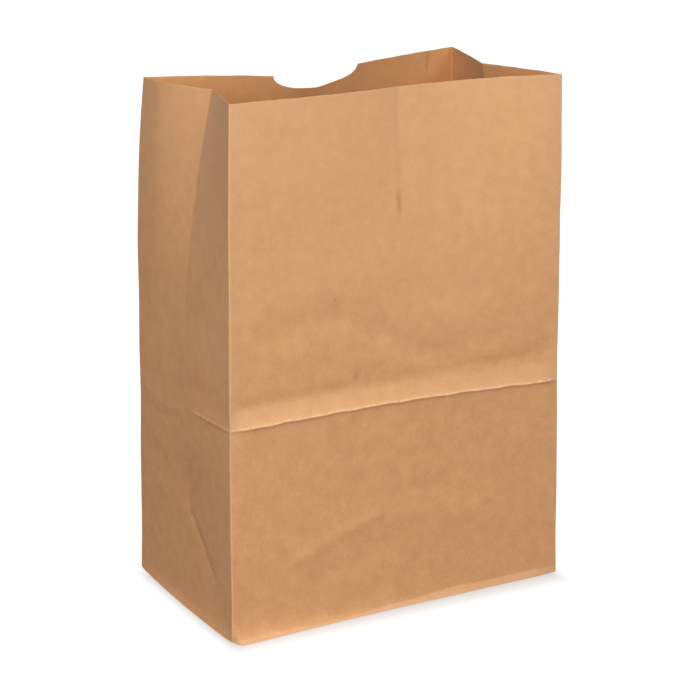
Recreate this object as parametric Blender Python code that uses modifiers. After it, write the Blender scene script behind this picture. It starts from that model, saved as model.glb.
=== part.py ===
"""Brown paper grocery bag, standing open.

One sheet of kraft paper folded into a flat-bottomed bag: a front and a back panel,
two side gussets that fold inwards towards the mouth, a cross crease where the bag was
folded flat, and a thumb notch in the rim of the back panel. The front faces -Y, the
mouth is up, and the origin is under the middle of the bottom. Sizes are in metres.
"""
import math

import bmesh
import bpy
from mathutils import Matrix, Vector

# The sheet and the folded bag
BAG_WIDTH = 0.3048
BAG_DEPTH = 0.1778
BAG_HEIGHT = 0.4318
PAPER_THICKNESS = 0.00018
HALF_DEPTH = BAG_DEPTH / 2

# The cross crease, left where the bottom was folded flat against the panels. It lies as
# high as the bag is deep, less what the folds take up
FOLD_TAKE_UP = 0.0018
CREASE_HEIGHT = BAG_DEPTH - FOLD_TAKE_UP
CREASE_RIDGE = 0.0020
CREASE_BAND = 0.0220
CREASE_VALLEY = 0.0020
CREASE_RELIEF = 0.0600

# A second crease at the height of the gusset points, on the back half of the bag
HALF_CREASE_RIDGE = 0.0009
HALF_CREASE_REACH = 0.0240

# The mouth: a little above the crease, panels start to bend in and gussets to fold in
MOUTH_CLEARANCE = 0.0240
MOUTH_START = CREASE_HEIGHT + MOUTH_CLEARANCE
MOUTH_POWER = 1.5
FRONT_BOW = 0.0165
FRONT_BOW_RISE = 4.0
FRONT_BOW_FALL = 1.6
BACK_FOLD = 0.0406
BACK_FOLD_PLACE = 0.60
BACK_FOLD_SOFTNESS = 0.05
LEFT_FOLD = 0.0240
RIGHT_FOLD = 0.0225

# How the open bag leans: its mouth is a little narrower than its foot, the back rim has
# slipped to the right, and the back left edge stands lower than the others
MOUTH_TAPER = 0.0022
BACK_SHIFT = 0.0022
BACK_LEFT_SAG = 0.0040

# Short upright crease from the rim down the middle of the front panel
CENTRE_CREASE_DEPTH = 0.0016
CENTRE_CREASE_HALF_WIDTH = 0.0200
CENTRE_CREASE_LENGTH = 0.1150
CENTRE_CREASE_FADE = 0.0400

# The foot of the bag
GUSSET_POINT_DENT = 0.0050
GUSSET_POINT_FADE = 0.0700
BASE_SPREAD = 0.0026
FRONT_LIP_REACH = 0.0100
LEFT_LIP_REACH = 0.0025
LIP_RISE = 0.0050
LIP_CORNER = 0.0120

# How far from a panel's upright edges its creases fade out
EDGE_FADE = 0.0180

# Thumb notch in the back panel's rim
NOTCH_WIDTH = 0.0840
NOTCH_DEPTH = 0.0140
NOTCH_CENTRE_X = -0.0022
NOTCH_SEGMENTS = 72

# Flaps folded under the bottom and pasted down, each a layer of paper further out
FLAP_OVERLAP = 0.0254
FLAP_INSET = 0.0010
BOTTOM_RISE = 2 * PAPER_THICKNESS
FLAP_BITE = 0.5 * PAPER_THICKNESS

# How finely the paper is divided
PANEL_STEPS = 18
LOWER_STEPS = 7
MIDDLE_STEPS = 5
UPPER_STEPS = 13
ARC_STEPS = 64
LOWER_GRADING = 1.5
MIDDLE_GRADING = 1.8
UPPER_GRADING = 1.25

# The four panels, anticlockwise seen from above
FRONT, RIGHT, BACK, LEFT = range(4)

KRAFT_COLOUR = (0.63, 0.35, 0.175, 1.0)
KRAFT_ROUGHNESS = 0.72
SHARP_ANGLE = math.radians(20)


def clear_scene():
    """Remove whatever objects the scene holds."""
    for thing in list(bpy.data.objects):
        bpy.data.objects.remove(thing, do_unlink=True)


def new_collection(name):
    """A collection linked to the scene."""
    collection = bpy.data.collections.new(name)
    bpy.context.scene.collection.children.link(collection)
    return collection


def kraft_material():
    """Plain brown kraft paper."""
    material = bpy.data.materials.new("kraft_paper")
    material.use_nodes = True
    shader = material.node_tree.nodes["Principled BSDF"]
    shader.inputs["Base Color"].default_value = KRAFT_COLOUR
    shader.inputs["Roughness"].default_value = KRAFT_ROUGHNESS
    shader.inputs["Metallic"].default_value = 0.0
    return material


def graded(start, end, steps, power):
    """Values from start to end, close together at the start when power is over 1."""
    return [start + (end - start) * (step / steps) ** power for step in range(steps + 1)]


def soft_step(value):
    """Ease from 0 to 1 while value goes from 0 to 1."""
    held = min(1.0, max(0.0, value))
    return held * held * (3 - 2 * held)


def hump(fraction, rise, fall):
    """A curve over 0 to 1 that is 0 at both ends and 1 at its peak."""
    peak = rise / (rise + fall)
    return (fraction / peak) ** rise * ((1 - fraction) / (1 - peak)) ** fall


def fold_line(fraction, place, softness):
    """Two straight arms that rise from 0 at the ends to a softly rounded 1 at the fold."""
    reach = place if fraction < place else 1 - place
    away = abs(fraction - place) / reach
    bend = math.hypot(away, softness) - softness
    return 1 - bend / (math.hypot(1, softness) - softness)


def front_bow(fraction):
    """Inward bow of the front rim."""
    return FRONT_BOW * hump(fraction, FRONT_BOW_RISE, FRONT_BOW_FALL)


def back_fold(fraction):
    """Inward fold of the back rim."""
    return BACK_FOLD * fold_line(fraction, BACK_FOLD_PLACE, BACK_FOLD_SOFTNESS)


def gusset_fold(fraction, rim_fold):
    """Inward fold of a gusset's rim: flat on each side of the middle."""
    return rim_fold * 2 * min(fraction, 1 - fraction)


def mouth_share(height):
    """How far up the mouth this height is, from 0 where it starts to 1 at the rim."""
    return max(0.0, (height - MOUTH_START) / (BAG_HEIGHT - MOUTH_START))


def opening(height):
    """How far the mouth's bends have grown at this height, 0 to 1."""
    return mouth_share(height) ** MOUTH_POWER


def paper_drop(rim_inset, height):
    """How much lower paper ends up when it leans in, because its length stays the same."""
    slope = rim_inset * MOUTH_POWER / (BAG_HEIGHT - MOUTH_START)
    bend = 2 * MOUTH_POWER - 1
    return slope ** 2 * (BAG_HEIGHT - MOUTH_START) * mouth_share(height) ** bend / (2 * bend)


def edge_fade(fraction):
    """0 at a wide panel's upright edges and 1 over its middle."""
    from_edge = BAG_WIDTH * min(fraction, 1 - fraction)
    return soft_step(from_edge / EDGE_FADE)


def cross_crease(height):
    """Outward swell of a wide panel: a ridge at the cross crease and a valley above it."""
    if height <= CREASE_HEIGHT:
        return CREASE_RIDGE * (height / CREASE_HEIGHT) ** 3
    above = height - CREASE_HEIGHT
    if above <= CREASE_BAND:
        return CREASE_RIDGE - (CREASE_RIDGE + CREASE_VALLEY) * above / CREASE_BAND
    return -CREASE_VALLEY * (1 - soft_step((above - CREASE_BAND) / CREASE_RELIEF))


def half_crease(height):
    """Outward ridge of the crease at the gusset points' height."""
    away = abs(height - HALF_DEPTH) / HALF_CREASE_REACH
    return HALF_CREASE_RIDGE * max(0.0, 1 - away)


def centre_crease(fraction, height):
    """Inward dent of the upright crease under the middle of the front rim."""
    across = abs(fraction - 0.5) * BAG_WIDTH / CENTRE_CREASE_HALF_WIDTH
    from_foot = height - BAG_HEIGHT + CENTRE_CREASE_LENGTH
    return CENTRE_CREASE_DEPTH * max(0.0, 1 - across) * soft_step(from_foot / CENTRE_CREASE_FADE)


def front_lip(fraction, height):
    """Outward curl of the front's bottom fold, strongest at its left end."""
    along = soft_step(fraction * BAG_WIDTH / LIP_CORNER) * (1 - fraction) ** 2
    return FRONT_LIP_REACH * along * math.exp(-height / LIP_RISE)


def left_lip(fraction, height):
    """Outward curl of the left gusset's bottom fold."""
    return LEFT_LIP_REACH * math.sin(math.pi * fraction) * math.exp(-height / LIP_RISE)


def fold_depth(rim_fold, height):
    """How far a gusset's middle fold is pushed in at this height."""
    if height <= HALF_DEPTH:
        dent = GUSSET_POINT_DENT * height / HALF_DEPTH
    else:
        dent = GUSSET_POINT_DENT * (1 - soft_step((height - HALF_DEPTH) / GUSSET_POINT_FADE))
    return dent + rim_fold * opening(height)


def front_inset(fraction, height):
    """How far the front panel lies inside the line between its upright edges."""
    bend = front_bow(fraction) * opening(height) + centre_crease(fraction, height)
    return bend - cross_crease(height) * edge_fade(fraction) - front_lip(fraction, height)


def back_inset(fraction, height):
    """How far the back panel lies inside the line between its upright edges."""
    swell = cross_crease(height) + half_crease(height)
    return back_fold(fraction) * opening(height) - swell * edge_fade(fraction)


def gusset_inset(fraction, height, rim_fold, from_back):
    """How far a gusset lies inside the line between its upright edges. It is flat on each
    side of its middle fold. Below the gusset point it has two more folds, which run down
    at 45 degrees to the bottom corners, and the half crease crosses its back half."""
    from_edge = BAG_DEPTH * min(fraction, 1 - fraction)
    if height < HALF_DEPTH:
        inset = GUSSET_POINT_DENT * min(from_edge, height) / HALF_DEPTH
    else:
        inset = fold_depth(rim_fold, height) * from_edge / HALF_DEPTH
    if from_back < HALF_DEPTH:
        inset -= half_crease(height) * math.sin(math.pi * from_back / HALF_DEPTH)
    return inset


def panel_shortening(depth, curve, *shape):
    """How much closer a wide panel's edges come when it bends in by this depth."""
    length = 0.0
    for step in range(ARC_STEPS):
        change = curve((step + 1) / ARC_STEPS, *shape) - curve(step / ARC_STEPS, *shape)
        length += math.hypot(BAG_WIDTH / ARC_STEPS, depth * change)
    return length - BAG_WIDTH


def gusset_shortening(fold):
    """How much closer the front and back edges come when a gusset folds in."""
    return 2 * (HALF_DEPTH - math.sqrt(HALF_DEPTH ** 2 - fold ** 2))


def corners_at(height):
    """The bag's four upright edges at this height: front left, front right, back right,
    back left. The paper keeps its width, so edges come closer where panels bend."""
    foot = max(0.0, 1 - height / CREASE_HEIGHT)
    upper = max(0.0, (height - CREASE_HEIGHT) / (BAG_HEIGHT - CREASE_HEIGHT))
    grown = opening(height)
    spread = BASE_SPREAD * foot
    front_bend = panel_shortening(FRONT_BOW * grown, hump, FRONT_BOW_RISE, FRONT_BOW_FALL)
    back_bend = panel_shortening(BACK_FOLD * grown, fold_line, BACK_FOLD_PLACE, BACK_FOLD_SOFTNESS)
    front_half = BAG_WIDTH / 2 + spread - front_bend / 2 - MOUTH_TAPER * upper
    back_half = BAG_WIDTH / 2 + spread - back_bend / 2
    left_pull = gusset_shortening(fold_depth(LEFT_FOLD, height))
    right_pull = gusset_shortening(fold_depth(RIGHT_FOLD, height))
    shift = BACK_SHIFT * upper
    sag = BACK_LEFT_SAG * (1 - foot)
    return (
        Vector((-front_half, -HALF_DEPTH - spread, height)),
        Vector((front_half, -HALF_DEPTH - spread, height)),
        Vector((shift + back_half, HALF_DEPTH + spread - right_pull, height)),
        Vector((shift - back_half, HALF_DEPTH + spread - left_pull, height - sag)),
    )


def panel_point(panel, fraction, height):
    """A point of the paper's outer face. The fraction runs along the panel, anticlockwise
    seen from above."""
    corners = corners_at(height)
    start = corners[panel]
    end = corners[(panel + 1) % 4]
    along = end - start
    inward = Vector((-along.y, along.x, 0)).normalized()
    if panel == FRONT:
        inset = front_inset(fraction, height)
        rim_inset = front_bow(fraction)
    elif panel == BACK:
        inset = back_inset(fraction, height)
        rim_inset = back_fold(fraction)
    elif panel == RIGHT:
        inset = gusset_inset(fraction, height, RIGHT_FOLD, BAG_DEPTH * (1 - fraction))
        rim_inset = gusset_fold(fraction, RIGHT_FOLD)
    else:
        inset = gusset_inset(fraction, height, LEFT_FOLD, BAG_DEPTH * fraction)
        inset -= left_lip(fraction, height)
        rim_inset = gusset_fold(fraction, LEFT_FOLD)
    point = start.lerp(end, fraction) + inward * inset
    point.z -= paper_drop(rim_inset, height)
    return point


def paper_rows():
    """Heights of the mesh's rows, closer together at the foot and at the crease."""
    lower = graded(0, HALF_DEPTH, LOWER_STEPS, LOWER_GRADING)
    middle = graded(CREASE_HEIGHT, HALF_DEPTH, MIDDLE_STEPS, MIDDLE_GRADING)[::-1]
    upper = graded(CREASE_HEIGHT, BAG_HEIGHT, UPPER_STEPS, UPPER_GRADING)
    return lower + middle[1:] + upper[1:]


def paper_columns():
    """Panel and fraction of each column. A gusset's columns lie as far from its edges as
    the lower rows lie from the floor, so that its 45 degree folds pass through both."""
    wide = [step / PANEL_STEPS for step in range(PANEL_STEPS)]
    lower = graded(0, HALF_DEPTH, LOWER_STEPS, LOWER_GRADING)
    half = [distance / BAG_DEPTH for distance in lower]
    narrow = half + [1 - fraction for fraction in half[-2:0:-1]]
    columns = []
    for panel, fractions in ((FRONT, wide), (RIGHT, narrow), (BACK, wide), (LEFT, narrow)):
        columns += [(panel, fraction) for fraction in fractions]
    return columns


def corner_fold(panel, place, row):
    """Which way a gusset's 45 degree fold crosses this cell of its panel, if it does."""
    if panel in (FRONT, BACK) or row >= LOWER_STEPS:
        return "none"
    if place == row:
        return "rising"
    if place == 2 * LOWER_STEPS - 1 - row:
        return "falling"
    return "none"


def add_cell(mesh, low_left, low_right, top_right, top_left, fold):
    """One cell of the paper, split along a fold that crosses it."""
    if fold == "rising":
        mesh.faces.new((low_left, low_right, top_right))
        mesh.faces.new((low_left, top_right, top_left))
    elif fold == "falling":
        mesh.faces.new((low_left, low_right, top_left))
        mesh.faces.new((low_right, top_right, top_left))
    else:
        mesh.faces.new((low_left, low_right, top_right, top_left))


def paper_surface(name, collection):
    """The paper's outer face as an open surface: four walls lofted upwards, and a bottom."""
    rows = paper_rows()
    columns = paper_columns()
    mesh = bmesh.new()
    grid = []
    for height in rows:
        points = [panel_point(panel, fraction, height) for panel, fraction in columns]
        grid.append([mesh.verts.new(point) for point in points])
    for row in range(len(rows) - 1):
        place = 0
        for column, (panel, fraction) in enumerate(columns):
            place = 0 if fraction == 0 else place + 1
            after = (column + 1) % len(columns)
            low = grid[row]
            top = grid[row + 1]
            fold = corner_fold(panel, place, row)
            add_cell(mesh, low[column], low[after], top[after], top[column], fold)
    mesh.faces.new(grid[0][::-1])
    data = bpy.data.meshes.new(name)
    mesh.to_mesh(data)
    mesh.free()
    bag = bpy.data.objects.new(name, data)
    collection.objects.link(bag)
    return bag


def hidden_tool(name, mesh, collection):
    """A solid that only cuts or joins, kept out of renders."""
    data = bpy.data.meshes.new(name)
    mesh.to_mesh(data)
    mesh.free()
    tool = bpy.data.objects.new(name, data)
    tool.hide_render = True
    tool.display_type = 'WIRE'
    collection.objects.link(tool)
    return tool


def notch_cutter(collection):
    """An elliptical cylinder through the back panel's rim."""
    corners = corners_at(BAG_HEIGHT)
    fraction = (corners[2].x - NOTCH_CENTRE_X) / (corners[2].x - corners[3].x)
    rim = panel_point(BACK, fraction, BAG_HEIGHT)
    mesh = bmesh.new()
    bmesh.ops.create_cone(mesh, cap_ends=True, segments=NOTCH_SEGMENTS, radius1=1, radius2=1, depth=1)
    shape = Matrix.Diagonal((NOTCH_WIDTH / 2, NOTCH_DEPTH, 2 * BACK_FOLD, 1))
    upright = Matrix.Rotation(math.radians(90), 4, 'X')
    mesh.transform(Matrix.Translation((NOTCH_CENTRE_X, rim.y, rim.z)) @ upright @ shape)
    return hidden_tool("thumb_notch_cutter", mesh, collection)


def flap_slab(name, side, low, high, collection):
    """One bottom flap: a trapezoid with 45 degree ends, hinged on the side at side * Y."""
    half_width = BAG_WIDTH / 2 - FLAP_INSET
    outer = HALF_DEPTH - FLAP_INSET
    reach = outer + FLAP_OVERLAP / 2
    outline = (
        (-half_width, side * outer),
        (half_width, side * outer),
        (half_width - reach, -side * FLAP_OVERLAP / 2),
        (reach - half_width, -side * FLAP_OVERLAP / 2),
    )
    mesh = bmesh.new()
    face = mesh.faces.new([mesh.verts.new((x, y, low)) for x, y in outline])
    raised = bmesh.ops.extrude_face_region(mesh, geom=[face])
    lifted = [item for item in raised["geom"] if isinstance(item, bmesh.types.BMVert)]
    bmesh.ops.translate(mesh, verts=lifted, vec=(0, 0, high - low))
    bmesh.ops.recalc_face_normals(mesh, faces=mesh.faces)
    return hidden_tool(name, mesh, collection)


def add_boolean(bag, tool, operation):
    """Cut the bag with a tool, or join the tool to it."""
    modifier = bag.modifiers.new(tool.name, 'BOOLEAN')
    modifier.operation = operation
    modifier.solver = 'EXACT'
    modifier.object = tool


def paper_bag(collection, tools):
    """The folded bag as one solid of paper."""
    bag = paper_surface("paper_bag", collection)
    bag.data.materials.append(kraft_material())
    bag.data.shade_smooth()
    bag.data.set_sharp_from_angle(angle=SHARP_ANGLE)
    bag.location.z = BOTTOM_RISE
    paper = bag.modifiers.new("paper thickness", 'SOLIDIFY')
    paper.thickness = PAPER_THICKNESS
    paper.offset = -1
    paper.use_even_offset = True
    paper.use_quality_normals = True
    add_boolean(bag, notch_cutter(tools), 'DIFFERENCE')
    under_top = BOTTOM_RISE + FLAP_BITE
    over_top = BOTTOM_RISE + FLAP_BITE / 2
    add_boolean(bag, flap_slab("front_flap", -1, PAPER_THICKNESS, under_top, tools), 'UNION')
    add_boolean(bag, flap_slab("back_flap", 1, 0, over_top, tools), 'UNION')
    return bag


def main():
    clear_scene()
    collection = new_collection("brown_paper_grocery_bag")
    tools = new_collection("cutters")
    paper_bag(collection, tools)


main()
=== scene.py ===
"""Brown paper grocery bag: its looks.

The bag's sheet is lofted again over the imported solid, finely enough for its creases,
dents and crumples, in kraft paper. The floor, lights and camera follow. Lengths are in
metres, +Z is up, and the plain front panel faces -Y.
"""
import math

import bmesh
import bpy
import numpy as np
from mathutils import Matrix, Vector, noise


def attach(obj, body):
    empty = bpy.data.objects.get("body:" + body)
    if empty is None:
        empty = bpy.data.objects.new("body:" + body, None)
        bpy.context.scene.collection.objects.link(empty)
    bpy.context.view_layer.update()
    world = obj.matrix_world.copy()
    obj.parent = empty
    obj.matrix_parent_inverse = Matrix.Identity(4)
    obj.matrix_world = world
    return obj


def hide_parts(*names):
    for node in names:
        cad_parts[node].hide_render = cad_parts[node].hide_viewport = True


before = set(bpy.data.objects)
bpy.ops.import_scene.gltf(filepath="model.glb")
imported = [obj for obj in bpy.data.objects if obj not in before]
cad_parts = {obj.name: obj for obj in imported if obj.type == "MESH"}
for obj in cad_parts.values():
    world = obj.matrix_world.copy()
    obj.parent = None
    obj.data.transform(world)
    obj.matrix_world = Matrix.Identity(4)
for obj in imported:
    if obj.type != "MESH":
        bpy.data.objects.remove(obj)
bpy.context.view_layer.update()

# The sheet and the folded bag
BAG_WIDTH = 0.3048
BAG_DEPTH = 0.1778
BAG_HEIGHT = 0.4318
PAPER_THICKNESS = 0.00018
HALF_DEPTH = BAG_DEPTH / 2
BOTTOM_RISE = 2 * PAPER_THICKNESS
CORNER_RADIUS = 0.0012
SHARPEST_BEND = 48.0

# The cross crease, as high as the bag is deep less what the folds take up
CREASE_HEIGHT = 0.1760
CREASE_RIDGE = 0.0020
CREASE_LIP = 0.00034
CREASE_LIP_WIDTH = 0.0011
CREASE_SWELL = 0.00055
CREASE_SWELL_WIDTH = 0.0050
CREASE_BAND_LEFT = 0.0165
CREASE_BAND_RIGHT = 0.0240
CREASE_VALLEY = 0.0021
CREASE_RELIEF = 0.0620
VALLEY_EDGE = 0.0110
CREASE_WAVE_REACH = 0.030
HALF_CREASE_RIDGE = 0.0009
HALF_CREASE_REACH = 0.0240

# The mouth, where the panels bend and the gussets fold in
MOUTH_START = CREASE_HEIGHT + 0.0240
MOUTH_POWER = 1.5
FRONT_BOW = 0.0165
FRONT_BOW_RISE = 4.0
FRONT_BOW_FALL = 1.6
BACK_FOLD = 0.0406
BACK_FOLD_PLACE = 0.60
BACK_FOLD_SOFTNESS = 0.05
LEFT_FOLD = 0.0240
RIGHT_FOLD = 0.0225
BACK_HALF_BULGE = 0.0080
BACK_HALF_BEND = 0.42
BACK_HALF_SOFTNESS = 0.25
GUSSET_FOLD_SOFTNESS = 0.0016
MOUTH_TAPER = 0.0022
BACK_SHIFT = 0.0022
BACK_LEFT_SAG = 0.0040

# The foot
GUSSET_POINT_DENT = 0.0050
GUSSET_POINT_FADE = 0.0700
BASE_SPREAD = 0.0026
FRONT_LIP_REACH = 0.0100
LEFT_LIP_REACH = 0.0025
LIP_RISE = 0.0050
LIP_CORNER = 0.0042
FOOT_FLARE = 0.0013
FOOT_FLARE_HEIGHT = 0.0062
FOOT_PLACES = (0.0, 0.05, 0.17, 0.27, 0.52, 0.67, 0.85, 1.0)
FOOT_HEIGHTS = (0.0022, 0.0030, 0.0028, 0.0008, 0.0040, 0.0066, 0.0060, 0.0062)
EDGE_FADE = 0.0140

# Thumb notch in the back rim
NOTCH_WIDTH = 0.0840
NOTCH_DEPTH = 0.0140
NOTCH_CENTRE_X = -0.0022
NOTCH_END_SHARE = 0.6
NOTCH_SOFTNESS = 0.10
NOTCH_REACH = 0.0300
NOTCH_COLUMNS = 40

# Upright crease down the middle of the front panel
CENTRE_CREASE_DEPTH = 0.0016
CENTRE_CREASE_HALF_WIDTH = 0.0200
CENTRE_CREASE_LENGTH = 0.1060
CENTRE_CREASE_FADE = 0.0160
CENTRE_CREASE_LINE = 0.0007

# Ends of the slanting dent by the left gusset's point; painted shade darkens both gussets along it
SLANT_START = (0.0934, 0.083)
SLANT_END = (0.1427, 0.0427)

# Lengthwise pasted seam in the back panel, and the layers of the bottom
SEAM_PLACE = 0.0300
SEAM_OVERLAP = 0.0220
FLAP_OVERLAP = 0.0254
FLAP_INSET = 0.0010

# Uneven cut of the rim, sizes and depths of the paper's swells, and the foot without them
RIM_WAVER = 0.00035
SWELLS = ((0.070, 0.00070), (0.028, 0.00020), (0.011, 0.000045))
STIFF_FOOT = 0.020

FRONT, RIGHT, BACK, LEFT = range(4)

# Camera that the photograph was taken with: angles in degrees, lens for a 36 mm sensor
CAMERA_AZIMUTH = -28.56
CAMERA_ELEVATION = 16.46
CAMERA_DISTANCE = 1.7819
CAMERA_TARGET = Vector((0.0019, 0.0, 0.1977))
CAMERA_LENS = 108.9
CAMERA_SENSOR = 36.0

# Kraft paper: colours, linear, then the sizes of its grain and the relief of its face
KRAFT_PALE = (0.825, 0.456, 0.224, 1.0)
KRAFT_DARK = (0.494, 0.234, 0.095, 1.0)
# Inner side: deeper orange and a little darker, painted light that stands in for light shining
# through the paper and bouncing between the walls
INSIDE_PALE_PAINTED_LIGHT = (0.830, 0.400, 0.150, 1.0)
INSIDE_DARK_PAINTED_LIGHT = (0.495, 0.202, 0.064, 1.0)
KRAFT_SALLOW = (0.655, 0.410, 0.215, 1.0)
# Dark flecks of the paper; the same colour paints shade under the cross crease, in the sharpest
# dents and pinches, and in specks along the front rim
KRAFT_FLECK_AND_SHADE = (0.290, 0.135, 0.060, 1.0)
# Pale colour of rubbed folds and rim; it also paints highlights on the front's foot strip and on the
# band above its cross crease
KRAFT_WORN_AND_HIGHLIGHT = (0.880, 0.600, 0.360, 1.0)
FIBRE_SIZE = 0.0007
FLECK_SPACING = 0.0280
WALL_CLOUD = 0.0026
WALL_RELIEF = 0.35
FLAP_CLOUD = 0.0030
FLAP_RELIEF = 0.45
FLAP_WEAR = 0.15

# Floor: its colour, its glow for the camera, a little blue, and the box round the bag where that
# glow is dim: a painted shadow
FLOOR_SIZE = 12.0
FLOOR_GAP = 0.00005
FLOOR_COLOUR = (0.33, 0.31, 0.29, 1.0)
FLOOR_GLOW = (0.955, 0.98, 1.0, 1.0)
FLOOR_SHADOW_GLOW = 0.36
FLOOR_SHADOW_CENTRE = (-0.0030, -0.0150, 0.0)
FLOOR_SHADOW_HALF = (0.1500, 0.0770, 0.0)
FLOOR_SHADOW_REACH = (0.0200, 0.0400, 1.0)

# Light from all round, and the lamps: name, place, target, size, watts and colour
ROOM_LIGHT = 0.15
WHITE = (1.0, 1.0, 1.0)
LAMPS = (
    ("key lamp", (0.9, -1.6, 1.9), (0.0, 0.0, 0.2), 1.2, 17.0, WHITE),
    ("top lamp", (-0.3, -0.6, 2.0), (0.0, 0.0, 0.2), 1.0, 15.5, WHITE),
    ("back lamp", (0.2, 1.2, 1.8), (0.0, 0.0, 0.3), 1.2, 3.0, WHITE),
    ("left lamp", (-0.9, -1.9, 1.2), (0.0, 0.0, 0.2), 1.2, 19.5, (1.0, 0.985, 0.96)),
    ("side lamp", (-1.6, -0.9, 1.0), (0.0, 0.0, 0.2), 1.2, 10.5, (1.0, 0.91, 0.83)),
)


def soft_step(value):
    """Ease from 0 to 1 while value goes from 0 to 1."""
    held = np.clip(value, 0.0, 1.0)
    return held * held * (3 - 2 * held)


def bell(value):
    """1 at 0, falling off smoothly on both sides."""
    return np.exp(-np.square(value))


def stretches(*parts):
    """Places along a line, from parts given as end and number of steps."""
    places = [0.0]
    for end, steps in parts:
        start = places[-1]
        places += [start + (end - start) * (step + 1) / steps for step in range(steps)]
    return places


def hump(fraction, rise, fall):
    """A curve over 0 to 1 that is 0 at both ends and 1 at its peak."""
    peak = rise / (rise + fall)
    return (fraction / peak) ** rise * ((1 - fraction) / (1 - peak)) ** fall


def fold_line(fraction, place, softness):
    """Two straight arms that rise from 0 at the ends to a softly rounded 1 at the fold."""
    reach = np.where(fraction < place, place, 1 - place)
    bend = np.hypot(np.abs(fraction - place) / reach, softness) - softness
    return 1 - bend / (math.hypot(1, softness) - softness)


def mouth_share(height):
    """How far up the mouth this height is, from 0 where it starts to 1 at the rim."""
    return np.maximum(0.0, (height - MOUTH_START) / (BAG_HEIGHT - MOUTH_START))


def opening(height):
    """How far the mouth's bends have grown at this height."""
    return mouth_share(height) ** MOUTH_POWER


def paper_drop(rim_inset, height):
    """How much lower paper ends up when it leans in, because its length stays the same."""
    slope = rim_inset * MOUTH_POWER / (BAG_HEIGHT - MOUTH_START)
    bend = 2 * MOUTH_POWER - 1
    return slope ** 2 * (BAG_HEIGHT - MOUTH_START) * mouth_share(height) ** bend / (2 * bend)


def edge_fade(fraction):
    """0 at a wide panel's upright edges and 1 over its middle."""
    return soft_step(BAG_WIDTH * np.minimum(fraction, 1 - fraction) / EDGE_FADE)


def cross_crease(height, band, lip=1.0):
    """Outward swell of a panel: a ridge at the cross crease and a valley above it, as far
    up as the band is high. The lip is how much of the crease's raised edge is here."""
    below = CREASE_RIDGE * (np.clip(height, 0, CREASE_HEIGHT) / CREASE_HEIGHT) ** 3
    above = height - CREASE_HEIGHT
    part = above / band
    rise = CREASE_RIDGE - (CREASE_RIDGE + CREASE_VALLEY) * (1.45 - 0.45 * part) * part
    past = above - band
    eased = 0.6 * soft_step(past / CREASE_RELIEF)
    quick = 0.4 * soft_step(past / VALLEY_EDGE)
    far = -CREASE_VALLEY * (1 - eased - quick)
    swell = np.where(height <= CREASE_HEIGHT, below, np.where(above <= band, rise, far))
    swell = swell + CREASE_SWELL * np.exp(-np.abs(above) / CREASE_SWELL_WIDTH)
    return swell + lip * CREASE_LIP * np.exp(-np.abs(above) / CREASE_LIP_WIDTH)


def half_crease(height):
    """Outward ridge of the crease at the gusset points' height."""
    away = np.abs(height - HALF_DEPTH) / HALF_CREASE_REACH
    return HALF_CREASE_RIDGE * np.maximum(0.0, 1 - away)


def dent_along(across, height, start, end, depth, width, taper=0.25):
    """A soft straight dent in a panel, from one point of it to another."""
    run = math.hypot(end[0] - start[0], end[1] - start[1])
    step = ((end[0] - start[0]) / run, (end[1] - start[1]) / run)
    along = ((across - start[0]) * step[0] + (height - start[1]) * step[1]) / run
    beside = (height - start[1]) * step[0] - (across - start[0]) * step[1]
    ends = soft_step((along + taper / 2) / taper) * soft_step((1 + taper / 2 - along) / taper)
    return depth * ends * bell(beside / width)


def dimple(across, height, place, depth, width, tall):
    """A soft oval dent."""
    return depth * bell(np.hypot((across - place[0]) / width, (height - place[1]) / tall))


def front_handling(across, height):
    """Dents that folding and opening the bag left in its front panel."""
    dents = dent_along(across, height, (-0.060, 0.258), (0.052, 0.201), 0.00135, 0.0100)
    dents += dent_along(across, height, (-0.128, 0.246), (-0.050, 0.258), 0.00125, 0.0110)
    dents += dent_along(across, height, (0.020, 0.213), (0.104, 0.222), 0.00090, 0.0070)
    dents += dimple(across, height, (-0.040, 0.203), 0.00070, 0.0055, 0.0045)
    dents += dimple(across, height, (-0.016, 0.238), 0.00070, 0.0100, 0.0080)
    dents += dimple(across, height, (-0.017, 0.206), 0.00080, 0.0090, 0.0070)
    dents += dimple(across, height, (0.060, 0.262), 0.00060, 0.0220, 0.0120)
    dents -= dimple(across, height, (0.070, 0.300), 0.00100, 0.0400, 0.0300)
    dents -= dimple(across, height, (-0.020, 0.292), 0.00070, 0.0300, 0.0220)
    dents -= dent_along(across, height, (-0.096, 0.058), (-0.016, 0.087), 0.00090, 0.0065)
    dents += dent_along(across, height, (-0.080, 0.036), (0.010, 0.066), 0.00050, 0.0100)
    dents -= dimple(across, height, (0.060, 0.070), 0.00060, 0.0500, 0.0140)
    dents += dimple(across, height, (0.020, 0.098), 0.00050, 0.0450, 0.0130)
    dents -= dent_along(across, height, (-0.030, 0.143), (0.060, 0.148), 0.00030, 0.0100)
    return dents


def centre_crease(across, height):
    """Inward dent of the upright crease under the middle of the front rim."""
    from_foot = height - BAG_HEIGHT + CENTRE_CREASE_LENGTH
    grown = soft_step(from_foot / CENTRE_CREASE_FADE)
    wide = 0.7 * CENTRE_CREASE_DEPTH * np.maximum(0.0, 1 - np.abs(across) / CENTRE_CREASE_HALF_WIDTH)
    pinch = 0.00055 * bell((from_foot - 0.014) / 0.009)
    line = (0.00006 + pinch) * np.exp(-np.abs(across - CENTRE_CREASE_LINE) / 0.0018)
    return (wide * soft_step(from_foot / 0.060) + line) * grown


def foot_strip(fraction):
    """How high the stiff strip at the front panel's foot is: low in its left part."""
    ragged = 0.0002 * np.sin(fraction * 31) + 0.00015 * np.sin(fraction * 77)
    return np.interp(fraction, FOOT_PLACES, FOOT_HEIGHTS) + ragged


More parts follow.
